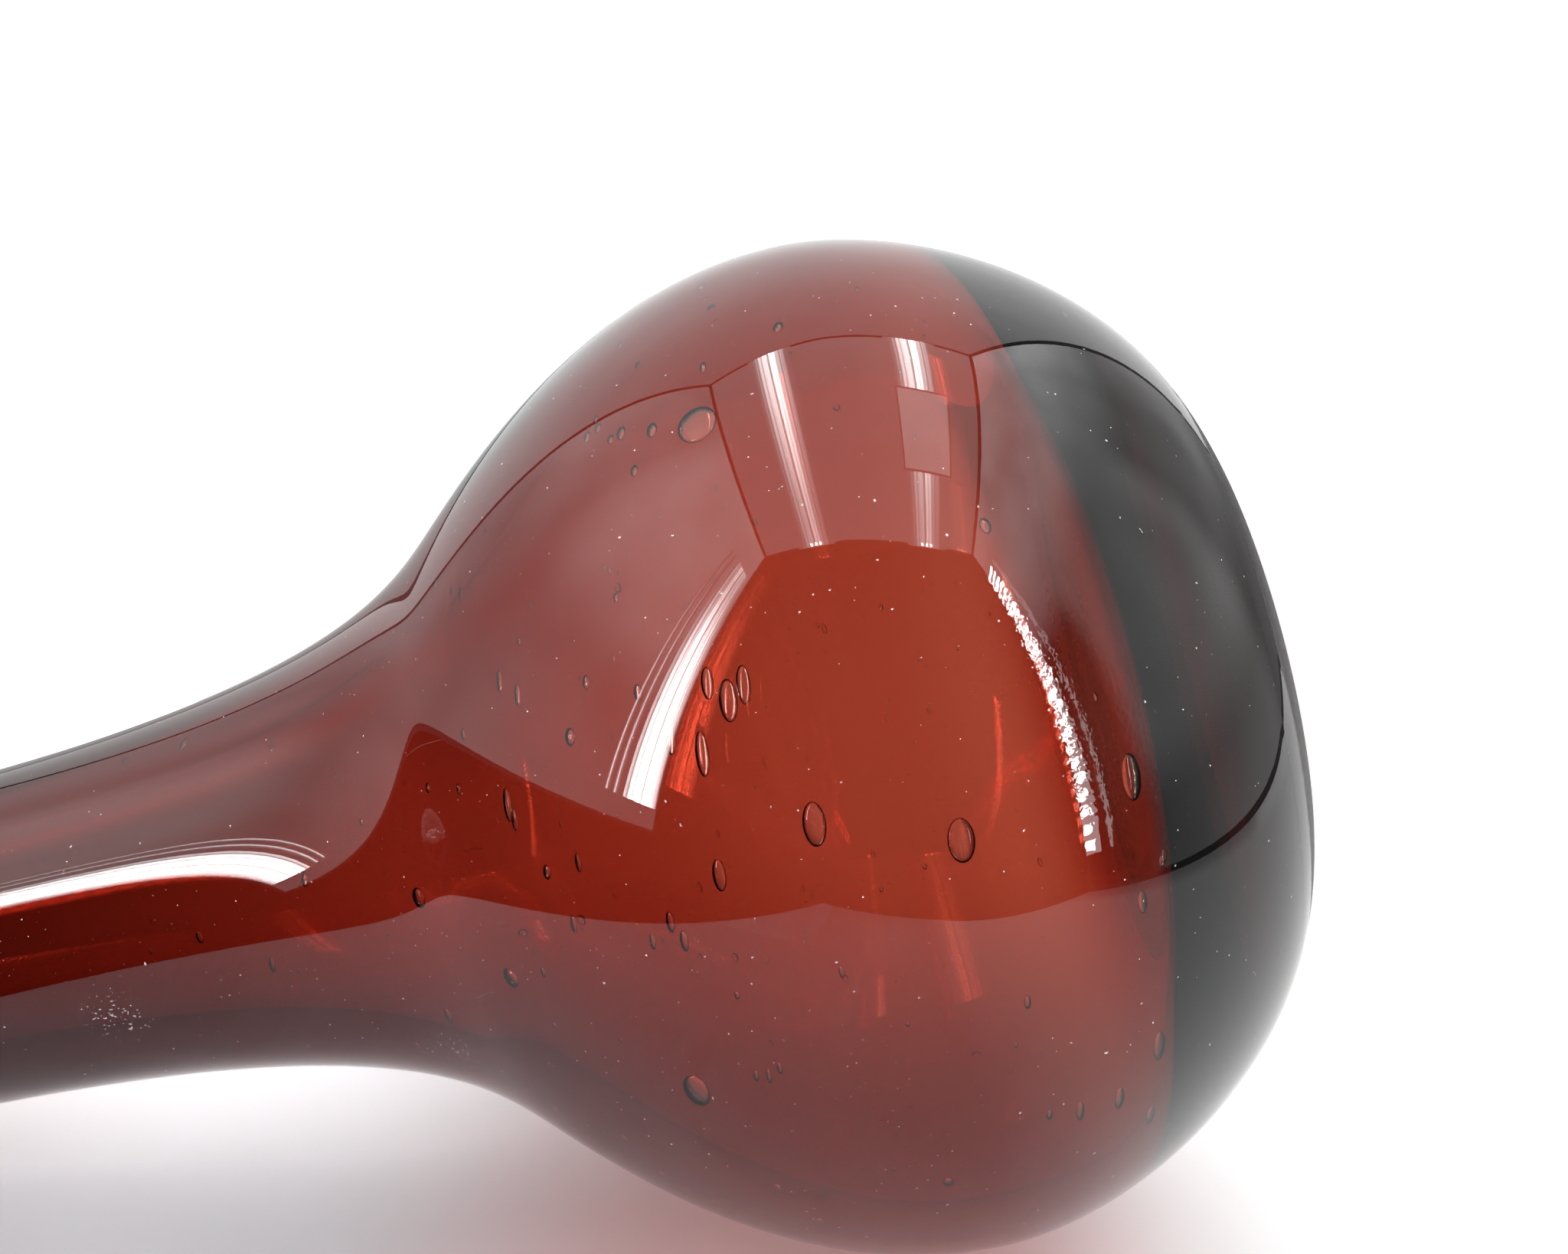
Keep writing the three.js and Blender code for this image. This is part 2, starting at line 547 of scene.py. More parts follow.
@dataclass(frozen=True)
class HungCloth(GlowingCloth):
    """Cloth whose brightness depends on the place in the tent."""

    axes: TentAxes = field(kw_only=True)


@dataclass(frozen=True)
class ShadedRightCloth(HungCloth):
    """The right wall, with painted shade behind its lamps and towards the back, and painted light
    high up.
    """

    low_light: float = 0.5
    top_light: float = 0.8
    band_shade: float = 0.9
    back_shade: float = 0.5

    def _glow(self, bench: Bench) -> Reading | float:
        """How bright the wall is at a place.

        Args:
            bench: The material's bench.

        Returns:
            The brightness.
        """
        depth, height = self.axes.depth(bench), self.axes.height(bench)
        # Painted shade in a band by the lamps, towards the back and at the foot; painted light
        # high up
        shade_band = depth.fade(-0.20, -0.27) * height.fade(0.50, 0.38)
        back = depth.fade(0.10, 0.20) * height.fade(0.45, 0.33)
        light = (self.low_light + (1 - self.low_light) * height.fade(0.03, 0.14)
                 + self.top_light * height.fade(0.40, 0.62))
        shade = (1 - self.band_shade * shade_band) * (1 - self.back_shade * back)
        return super()._glow(bench) * shade * light


@dataclass(frozen=True)
class LampLitCloth(HungCloth):
    """The left wall, which is brighter towards the ceiling and towards the camera."""

    low_light: float = 0.7
    near_light: float = 0.35
    top_light: float = 1.15
    far_top_shade: float = 0.55

    def _glow(self, bench: Bench) -> Reading | float:
        """How bright the wall is at a place.

        Args:
            bench: The material's bench.

        Returns:
            The brightness.
        """
        depth, height = self.axes.depth(bench), self.axes.height(bench)
        top = self.top_light - self.far_top_shade * depth.fade(0.16, 0.24)
        light = (self.low_light + self.near_light * depth.fade(0.20, 0.05)
                 + height.fade(0.15, 0.45) * top)
        return super()._glow(bench) * light


@dataclass(frozen=True)
class FloorAtBack(HungCloth):
    """The floor that the vase's edges mirror, which is dimmer on the left."""

    left_shade: float = 0.42

    def _glow(self, bench: Bench) -> Reading | float:
        """How bright the floor is at a place."""
        left = self.axes.side(bench).fade(0.10, -0.22)
        return super()._glow(bench) * (1 - self.left_shade * left)


@dataclass(frozen=True)
class FloorThroughGlass(HungCloth):
    """The tent's floor as it shows through the vase, dimmer under it and under its neck."""

    neck_shade: float = 0.62
    base_shade: float = 0.5
    front_shade: float = 0.6

    def _glow(self, bench: Bench) -> Reading | float:
        """How bright the floor is at a place.

        Args:
            bench: The material's bench.

        Returns:
            The brightness.
        """
        side, depth = self.axes.side(bench), self.axes.depth(bench)
        neck = side.fade(-0.04, -0.13) * depth.fade(0.25, 0.10)
        base = side.fade(0.07, 0.15) * depth.fade(-0.02, 0.06)
        front = depth.fade(0.06, -0.02)
        return (super()._glow(bench) * (1 - self.neck_shade * neck)
                * (1 - self.base_shade * base) * (1 - self.front_shade * front))


@dataclass(frozen=True)
class StreakyLamp(GlowingCloth):
    """A row of lamps behind cloth: streaked, brightest along its middle and at one end."""

    centre: Vector = field(kw_only=True)
    across: Vector = field(kw_only=True)
    along: Vector = field(kw_only=True)
    half: float = field(kw_only=True)  # half its width
    edge: float = 1.1  # how bright it is at its edges
    dim: float = 0.35  # how bright its dimmer end is, as a share of the other
    streak: float = 90.0  # streaks in a metre

    def _glow(self, bench: Bench) -> Reading | float:
        """How bright the lamp is at a place.

        Args:
            bench: The material's bench.

        Returns:
            The brightness.
        """
        side = bench.along(self.centre, self.across)
        core = side.fade(-self.half, -0.1 * self.half) * side.fade(self.half, 0.1 * self.half)
        far = self.dim + (1 - self.dim) * bench.along(self.centre, self.along).fade(-0.35, 0.35)
        streaks = bench.streaks(side, self.streak).fade(0.35, 0.65)
        return self.edge + core * core * far * (0.2 + streaks) * self.strength


@dataclass(frozen=True)
class PaleSheet(StageFinish):
    """A pale floor."""

    colour: Colour = (0.95, 0.95, 0.96)
    glow: float = 0.97

    def _sheet(self, bench: Bench, colour: Any, glow: Any) -> bpy.types.Node:
        """A matt sheet that glows.

        Args:
            bench: The material's bench.
            colour: Its colour, as a value or a socket.
            glow: The colour of its glow, as a value or a socket.

        Returns:
            The shader.
        """
        return bench.node("ShaderNodeBsdfPrincipled", {}, {
            "Base Color": colour, "Roughness": 0.9, "Specular IOR Level": 0.1,
            "Emission Color": glow, "Emission Strength": self.glow})

    def _surface(self, bench: Bench) -> bpy.types.Node:
        """The shader of the floor."""
        return self._sheet(bench, (*self.colour, 1), (*self.colour, 1))


@dataclass(frozen=True)
class TentSheet(PaleSheet):
    """The tent's floor, which shows from above only, with painted shade in front of the vase and
    painted light on the right.
    """

    colour: Colour = (0.9, 0.9, 0.92)
    glow: float = 1.0
    shade: Colour = (0.44, 0.43, 0.45)
    tint: Colour = (0.68, 0.43, 0.42)  # where light falls on it through the bulb
    unlit: Colour = (0.02, 0.02, 0.02)
    # Painted light: the sheet glows white on the right
    shine: float = 1.15  # how bright it is on the right, where it is white
    tinted: Vector = field(kw_only=True)  # the middle of the light through the bulb
    axes: TentAxes = field(kw_only=True)
    ends: bool = False  # whether it fades to white in front and on the left

    def _lit(self, side: Reading, depth: Reading) -> Reading:
        """Where painted light makes the sheet white.

        Args:
            side: How far to the right a place is.
            depth: How far away it is.

        Returns:
            The share of painted light, 0 to 1.
        """
        lit = side.fade(0.010, 0.070) * (1 - 0.6 * side.fade(0.30, 0.38))
        if self.ends:
            lit = 1 - (1 - lit) * side.fade(-0.155, -0.120) * depth.fade(-0.060, -0.030)
        return lit

    def _surface(self, bench: Bench) -> bpy.types.Node:
        """The sheet as seen from above, and nothing as seen from below.

        Args:
            bench: The material's bench.

        Returns:
            The shader.
        """
        side, depth = self.axes.side(bench), self.axes.depth(bench)
        shaded = bench.blend(depth.fade(-0.030, 0.004), self.shade, self.colour)
        colour = bench.blend(bench.near(self.tinted, 0.065, 0.012), shaded, self.tint)
        shadow = bench.near(self.tinted, 0.09, 0.03)
        light = (depth.fade(-0.018, 0.006) * (0.4 - 0.3 * shadow)
                 + depth.fade(0.20, 0.40) * 0.3)
        sheet = self._sheet(bench, colour, bench.blend(light, self.unlit, (1, 1, 1)))
        shine = bench.node("ShaderNodeEmission", {}, {"Strength": self.shine})
        above = bench.either(self._lit(side, depth), sheet, shine)
        from_below = bench.node("ShaderNodeNewGeometry").outputs["Backfacing"]
        return bench.either(from_below, above, bench.node("ShaderNodeBsdfTransparent"))


# --- Shaping -----------------------------------------------------------------------------------


def arc(start: Vector, start_handle: Vector, end_handle: Vector, end: Vector,
        steps: int) -> list[Vector]:
    """Points along a curve between two points with a handle at each end.

    Args:
        start: The first point.
        start_handle: Its handle, as an offset.
        end_handle: The handle of the last point, as an offset.
        end: The last point.
        steps: Stretches between the points.

    Returns:
        The points, both ends included.
    """
    return interpolate_bezier(start, start + start_handle, end + end_handle, end, steps + 1)


def chain(*curves: list[Vector]) -> list[Vector]:
    """Joins curves that each start where the last one ended.

    Args:
        *curves: The curves, as their points.

    Returns:
        The points of all of them.
    """
    points = [curves[0][0]]
    for curve in curves:
        points += curve[1:]
    return points


def across(points: list[Vector], height: float) -> tuple[Vector, Vector]:
    """Where a skin crosses a height.

    Args:
        points: The skin's points, from the bottom up.
        height: The height.

    Returns:
        The (radius, height) point and the direction of the skin up from it.
    """
    above = next(i for i, p in enumerate(points) if p.y > height)
    low, high = points[above - 1], points[above]
    return low.lerp(high, (height - low.y) / (high.y - low.y)), (high - low).normalized()


def parted(points: list[Vector], height: float) -> tuple[list[Vector], list[Vector]]:
    """Parts a skin in two at a height.

    Args:
        points: The skin's points, from the bottom up.
        height: The height.

    Returns:
        The lower and the upper part, both with a point at the height.
    """
    middle = across(points, height)[0]
    return ([p for p in points if p.y < height] + [middle],
            [middle.copy()] + [p for p in points if p.y > height])


def settle(bm: bmesh.types.BMesh, name: str) -> bpy.types.Mesh:
    """Turns a bmesh into a mesh.

    Args:
        bm: The bmesh, which is freed.
        name: The mesh's name.

    Returns:
        The mesh.
    """
    mesh = bpy.data.meshes.new(name)
    bm.to_mesh(mesh)
    bm.free()
    return mesh


def put_up(name: str, data: bpy.types.ID) -> bpy.types.Object:
    """Adds an object to the scene.

    Args:
        name: Its name.
        data: Its mesh or camera.

    Returns:
        The object.
    """
    made = bpy.data.objects.new(name, data)
    bpy.context.scene.collection.objects.link(made)
    return made


def ball_of_air(fine: int) -> bpy.types.Mesh:
    """Makes a ball of radius 1 whose faces are turned inwards, as a hollow's are.

    Args:
        fine: How finely it is divided.

    Returns:
        The ball.
    """
    bm = bmesh.new()
    bmesh.ops.create_icosphere(bm, subdivisions=fine, radius=1)
    bmesh.ops.reverse_faces(bm, faces=bm.faces)
    for face in bm.faces:
        face.smooth = True
    return settle(bm, "ball_of_air")


class Turning:
    """A solid of revolution that is built up from profiles, and becomes a piece of the vase."""

    WELD = 1e-6  # how near two corners are that are made one
    SHARP = math.radians(50)  # the angle from which an edge is a sharp one

    def __init__(self, steps: int) -> None:
        """Starts an empty solid.

        Args:
            steps: Faces round the axis, a multiple of 8.
        """
        self.steps = steps
        self.bm = bmesh.new()
        self.bm.faces.layers.float.new("joint")

    def turn(self, profile: list[Vector], surface: Surface) -> None:
        """Sweeps an open profile of (radius, height) points once round the axis.

        Args:
            profile: The points.
            surface: What the swept faces are.
        """
        fan = bmesh.new()
        corners = [fan.verts.new((p.x, 0, p.y)) for p in profile]
        edges = [fan.edges.new(pair) for pair in zip(corners, corners[1:])]
        eighth = math.tau / 8
        bmesh.ops.spin(fan, geom=corners + edges, cent=(0, 0, 0), axis=(0, 0, 1),
                       dvec=(0, 0, 0), angle=eighth, steps=self.steps // 8)
        for turned in (eighth, 2 * eighth, 4 * eighth):  # each copy doubles what is there
            copy = bmesh.ops.duplicate(fan, geom=[*fan.verts, *fan.edges, *fan.faces])
            bmesh.ops.rotate(fan, cent=(0, 0, 0), matrix=Matrix.Rotation(turned, 3, "Z"),
                             verts=[e for e in copy["geom"] if isinstance(e, bmesh.types.BMVert)])
        kind = fan.faces.layers.float.new("joint")
        for face in fan.faces:
            face[kind] = surface.value
        mesh = settle(fan, "fan")
        self.bm.from_mesh(mesh)
        bpy.data.meshes.remove(mesh)

    def close(self) -> None:
        """Welds the profiles' ends together and turns the faces outwards."""
        bmesh.ops.remove_doubles(self.bm, verts=self.bm.verts, dist=self.WELD)
        bmesh.ops.recalc_face_normals(self.bm, faces=self.bm.faces)
        kind = self.bm.faces.layers.float["joint"]
        for edge in self.bm.edges:
            kinds = {face[kind] for face in edge.link_faces}
            edge.smooth = len(kinds) == 1 and edge.calc_face_angle(0) < self.SHARP
        for face in self.bm.faces:
            face.smooth = True

    def piece(self, name: str, node: str, finish: RedGlass) -> None:
        """Makes the solid a piece of the vase.

        Args:
            name: The piece's name.
            node: The CAD node that it stands for.
            finish: Its glass.
        """
        mesh = settle(self.bm, name)
        mesh.materials.append(finish.make())
        made = put_up(name, mesh)
        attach(made, "root")
        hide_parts(node)
        faces = sum(len(face.vertices) - 2 for face in mesh.polygons)
        LOG.info("%s: %d triangles", name, faces)


@dataclass(frozen=True)
class Depths:
    """How far a skin lies in from the outside, at four places up the wall."""

    belly: float = 0.0
    shoulder: float = 0.0
    neck: float = 0.0
    lip: float = 0.0


@dataclass(frozen=True)
class VaseLines:
    """The lines of the vase that its pieces share, in metres.

    A handle is the length of a curve's handle, as a share of the curve's reach or rise.
    """

    height: float = 0.180
    belly_radius: float = 0.055
    belly_height: float = 0.038
    shoulder_radius: float = 0.0347
    shoulder_height: float = 0.0804
    shoulder_slope: float = math.radians(42)
    waist_radius: float = 0.0182
    flare_height: float = 0.019
    lip_radius: float = 0.0205
    stand_radius: float = 0.029
    heel_radius: float = 0.0305
    heel_rise: float = 0.0001
    heel_angle: float = math.radians(20)
    heel_curl: float = 0.3e-3  # length of the handle of the stand's edge at the heel
    foot_height: float = 0.0037
    base_thickness: float = 0.0075
    belly_wall: float = 0.005
    shoulder_wall: float = 0.006
    neck_wall: float = 0.007
    lip_wall: float = 0.0046
    lip_height: float = 0.003
    stand_handle: float = 0.4
    heel_handle: float = 0.64
    under_belly_handle: float = 0.36
    over_belly_handle: float = 0.47
    shoulder_handle: float = 0.23
    neck_foot_handle: float = 0.13
    neck_top_handle: float = 0.77
    flare_handle: float = 0.5
    floor_handle: float = 0.85
    side_handle: float = 0.6
    half_gap: float = 0.15 * MM  # half of the CAD model's gap between two pieces
    melt: float = 0.005e-3  # hair's breadth left between two pieces

    @property
    def waist_height(self) -> float:
        """Where the neck is slimmest."""
        return self.height - self.flare_height

    @property
    def gather_floor(self) -> float:
        """Where the gathers meet the foot."""
        return self.foot_height + self.half_gap

    @property
    def gather_top(self) -> float:
        """Where the gathers meet the lip's bead."""
        return self.height - self.lip_height - self.half_gap

    def _upper(self, depths: Depths) -> list[Vector]:
        """A skin of the wall from the belly up to the lip.

        Args:
            depths: How far in it lies.

        Returns:
            The points of the skin.
        """
        sine, cosine = math.sin(self.shoulder_slope), math.cos(self.shoulder_slope)
        belly = Vector((self.belly_radius - depths.belly, self.belly_height))
        shoulder = Vector((self.shoulder_radius - depths.shoulder * cosine,
                           self.shoulder_height - depths.shoulder * sine))
        waist = Vector((self.waist_radius - depths.neck, self.waist_height))
        lip = Vector((self.lip_radius - depths.lip, self.gather_top))
        slope = Vector((-sine, cosine))
        rise, neck = shoulder.y - belly.y, waist.y - shoulder.y
        flare = lip.y - waist.y
        return chain(
            arc(belly, Vector((0, self.over_belly_handle * rise)),
                slope * (-self.shoulder_handle * rise), shoulder, 44),
            arc(shoulder, slope * (self.neck_foot_handle * neck),
                Vector((0, -self.neck_top_handle * neck)), waist, 40),
            arc(waist, Vector((0, self.flare_handle * flare)),
                Vector((waist.x - lip.x, -flare)) * self.flare_handle, lip, 12))

    def outside(self) -> list[Vector]:
        """The outside of the vase.

        Returns:
            Its points, from the ring that it stands on up to the lip's bead.
        """
        stand = Vector((self.stand_radius, 0))
        heel = Vector((self.heel_radius, self.heel_rise))
        belly = Vector((self.belly_radius, self.belly_height))
        slope = Vector((math.cos(self.heel_angle), math.sin(self.heel_angle)))
        reach, rise = belly.x - heel.x, belly.y - heel.y
        return chain(
            arc(stand, Vector((self.stand_handle * (heel.x - stand.x), 0)),
                slope * -self.heel_curl, heel, 6),
            arc(heel, slope * (self.heel_handle * reach),
                Vector((0, -self.under_belly_handle * rise)), belly, 48),
            self._upper(Depths()))

    def inside(self, share: float, shift: float = 0.0) -> list[Vector]:
        """A skin inside the wall, from its floor on the axis up.

        Args:
            share: Its depth in the wall, 1 at the hollow.
            shift: How much further in it lies.

        Returns:
            The points of the skin.
        """
        depths = Depths(*(share * wall + shift for wall in (
            self.belly_wall, self.shoulder_wall, self.neck_wall, self.lip_wall)))
        floor = Vector((0, self.foot_height + share * (self.base_thickness - self.foot_height)
                        + shift))
        belly = Vector((self.belly_radius - depths.belly, self.belly_height))
        bowl = arc(floor, Vector((self.floor_handle * belly.x, 0)),
                   Vector((0, -self.side_handle * (belly.y - floor.y))), belly, 40)
        return chain(bowl, self._upper(depths))


@dataclass(frozen=True)
class Bubble:
    """One air bubble in the wall: an oval drawn out round the vase, sizes in millimetres."""

    turn: float  # degrees round the axis, from +x towards +y
    height: float
    length: float
    width: float
    tilt: float = -6.0  # degrees, up to the right as seen from outside
    depth: float = 0.27  # of its middle, as a share of the wall


# The bubbles that stand out, as (turn, height, length, width)
LARGE_BUBBLES = (
    (255, 72.6, 3.0, 1.0), (253, 72.2, 2.0, 0.8), (243, 85.1, 2.0, 1.8), (231, 76.9, 2.0, 1.9),
    (217, 86.2, 2.0, 1.0), (247, 66.6, 1.7, 0.7), (240, 68.5, 1.7, 0.7), (240, 59.6, 1.9, 0.8),
    (238, 61.6, 1.4, 0.6), (244, 54.5, 2.7, 1.2), (220, 61.5, 3.6, 2.5), (270, 71.1, 2.1, 0.8),
    (267, 69.2, 2.0, 0.8), (265, 62.4, 1.3, 0.7), (266, 76.0, 1.1, 0.7), (261, 81.2, 1.0, 0.7),
    (259, 77.6, 1.0, 0.6), (247, 45.9, 3.6, 1.9), (243, 34.7, 3.6, 2.2), (244, 19.7, 3.9, 1.9),
    (215, 21.4, 3.3, 1.3), (211, 25.7, 2.8, 1.0), (205, 22.9, 2.6, 1.0), (287, 48.4, 4.0, 3.7),
    (294, 57.6, 1.4, 0.8), (291, 56.5, 1.2, 0.7), (291, 55.4, 1.7, 1.0), (285, 54.7, 1.3, 0.8),
    (289, 52.5, 1.8, 1.1), (223, 54.7, 1.6, 0.5), (224, 53.6, 1.3, 0.5), (223, 55.8, 1.3, 0.5),
    (255, 53.6, 3.7, 1.2), (259, 50.5, 3.5, 1.6), (260, 49.0, 3.2, 1.2), (261, 51.9, 2.7, 1.1),
    (257, 56.0, 2.5, 1.1), (232, 20.9, 2.0, 0.9), (207, 41.9, 1.4, 1.0), (198, 54.4, 1.4, 0.9),
    (205, 57.1, 1.5, 0.9), (212, 29.4, 2.4, 0.8), (227, 32.2, 1.3, 0.6), (235, 18.5, 1.2, 0.7),
    (233, 73.2, 1.0, 0.6), (238, 58.8, 1.9, 0.8),
)


@dataclass
class GlassPart:
    """A mass of glass that is a piece of the vase."""

    lines: VaseLines
    steps: int = 192  # faces round the axis


@dataclass
class OuterGather(GlassPart):
    """The second gather: the outer half of the wall, with the bubbles in it."""

    small_bubbles: int = 240
    lowest: float = 10.0  # of the small bubbles, in millimetres
    highest: float = 161.0
    densest: float = 46.0  # the height at which most of them lie
    shortest: float = 0.5
    longest: float = 1.8
    seed: int = 11
    neck_from: float = 70.0  # millimetres up, where bubbles lie in the neck's thicker wall
    fine_from: float = 1.9  # length in millimetres from which a bubble is finely divided
    finish: RedGlass = RedGlass("casing_glass", pebbles=6e-6, scuffs=0.6)

    def _bubbles(self) -> list[Bubble]:
        """The bubbles.

        Returns:
            The large ones and a scatter of small ones, of which most are near the shortest.
        """
        chance = random.Random(self.seed)
        bubbles = [Bubble(*numbers) for numbers in LARGE_BUBBLES]
        for _ in range(self.small_bubbles):
            length = self.shortest + (self.longest - self.shortest) * chance.random() ** 2.5
            bubbles.append(Bubble(
                turn=chance.uniform(0, 360),
                height=chance.triangular(self.lowest, self.highest, self.densest),
                length=length, width=length * chance.uniform(0.35, 0.7),
                tilt=chance.gauss(-6, 6), depth=chance.uniform(0.2, 0.34)))
        return bubbles

    def _hollow(self, bubble: Bubble, outside: list[Vector]) -> Matrix:
        """Where a bubble lies and how it is drawn out.

        Args:
            bubble: The bubble.
            outside: The outside of the wall.

        Returns:
            The transform of a ball of radius 1 into the bubble.
        """
        foot, up = across(outside, bubble.height * MM)
        wall = self.lines.belly_wall if bubble.height < self.neck_from else self.lines.neck_wall
        out = Vector((up.y, -up.x))
        middle = foot - out * (bubble.depth * wall)
        half_length, half_width = 0.5 * bubble.length * MM, 0.5 * bubble.width * MM
        half_thickness = min(0.05 * wall, 0.3 * half_width)
        axes = Matrix(((0, up.x, out.x, middle.x), (1, 0, 0, 0), (0, up.y, out.y, middle.y),
                       (0, 0, 0, 1)))
        return (Matrix.Rotation(math.radians(bubble.turn), 4, "Z") @ axes
                @ Matrix.Rotation(math.radians(bubble.tilt), 4, "Z")
                @ Matrix.Diagonal((half_length, half_width, half_thickness, 1)))

    def _trap_air(self, bm: bmesh.types.BMesh) -> None:
        """Adds the hollows of all the bubbles, their faces turned into the air.

        Args:
            bm: The gather.
        """
        outside = self.lines.outside()
        coarse, fine = ball_of_air(2), ball_of_air(3)
        for bubble in self._bubbles():
            hollow = (fine if bubble.length > self.fine_from else coarse).copy()
            hollow.transform(self._hollow(bubble, outside))
            bm.from_mesh(hollow)
            bpy.data.meshes.remove(hollow)
        for ball in (coarse, fine):
            bpy.data.meshes.remove(ball)

    def build(self) -> None:
        """Makes the piece."""
        solid = Turning(self.steps)
        floor = self.lines.gather_floor + self.lines.melt
        outside = parted(self.lines.outside(), floor)[1]
        seam = self.lines.inside(0.5, -self.lines.melt)
        outside[-1].y = seam[-1].y = outside[-1].y - self.lines.melt
        solid.turn(outside, Surface.GLASS)
        solid.turn([outside[-1], seam[-1]], Surface.JOINT)
        solid.turn(seam, Surface.JOINT)
        solid.turn([Vector((0, floor)), outside[0]], Surface.JOINT)
        solid.close()
        self._trap_air(solid.bm)
        solid.piece("outer_gather_glass", "outer_gather", self.finish)


@dataclass
class InnerGather(GlassPart):
    """The first gather, blown to the hollow: the inner half of the wall."""

    finish: RedGlass = RedGlass("inner_glass", ripple=45e-6, striae=1e-6)

    def build(self) -> None:
        """Makes the piece."""
        solid = Turning(self.steps)
        seam = self.lines.inside(0.5, self.lines.melt)
        hollow = self.lines.inside(1)
        seam[-1].y = hollow[-1].y = hollow[-1].y - self.lines.melt
        solid.turn(seam, Surface.JOINT)
        solid.turn([seam[-1], hollow[-1]], Surface.JOINT)
        solid.turn(hollow, Surface.GLASS)
        solid.close()
        solid.piece("inner_gather_glass", "inner_gather", self.finish)


@dataclass
class FootPad(GlassPart):
    """The pressed foot, with a flat ring to stand on round a ground hollow."""

    kick_radius: float = 0.018
    kick_depth: float = 0.0015
    finish: GroundGlass = GroundGlass("foot_glass", roughness=0.02)

    def build(self) -> None:
        """Makes the piece."""
        solid = Turning(self.steps)
        ceiling = self.lines.gather_floor - self.lines.melt
        side = parted(self.lines.outside(), ceiling)[0]
        edge = Vector((self.kick_radius, 0))
        kick = arc(Vector((0, self.kick_depth)), edge / 2, edge / -4, edge, 16)
        solid.turn(chain(kick, [edge, side[0]], side), Surface.GLASS)
        solid.turn([side[-1], Vector((0, ceiling))], Surface.JOINT)
        solid.close()
        solid.piece("foot_pad_glass", "foot_pad", self.finish)


@dataclass
class LipBead(GlassPart):
    """The edge of the mouth, melted round in the fire."""

    crown_steps: int = 16
    finish: RedGlass = RedGlass("lip_glass", ripple=20e-6)

    def build(self) -> None:
        """Makes the piece."""
        solid = Turning(self.steps)
        half = self.lines.lip_wall / 2
        base = self.lines.gather_top + self.lines.melt
        middle = Vector((self.lines.lip_radius - half, self.lines.height - half))
        angles = (math.pi * i / self.crown_steps for i in range(self.crown_steps + 1))
        crown = [middle + Vector((math.cos(angle), math.sin(angle))) * half for angle in angles]
        outside, inside = Vector((middle.x + half, base)), Vector((middle.x - half, base))
        solid.turn([outside, *crown, inside], Surface.GLASS)
        solid.turn([inside, outside], Surface.JOINT)
        solid.close()
        solid.piece("lip_bead_glass", "lip_bead", self.finish)


# --- Stage -------------------------------------------------------------------------------------


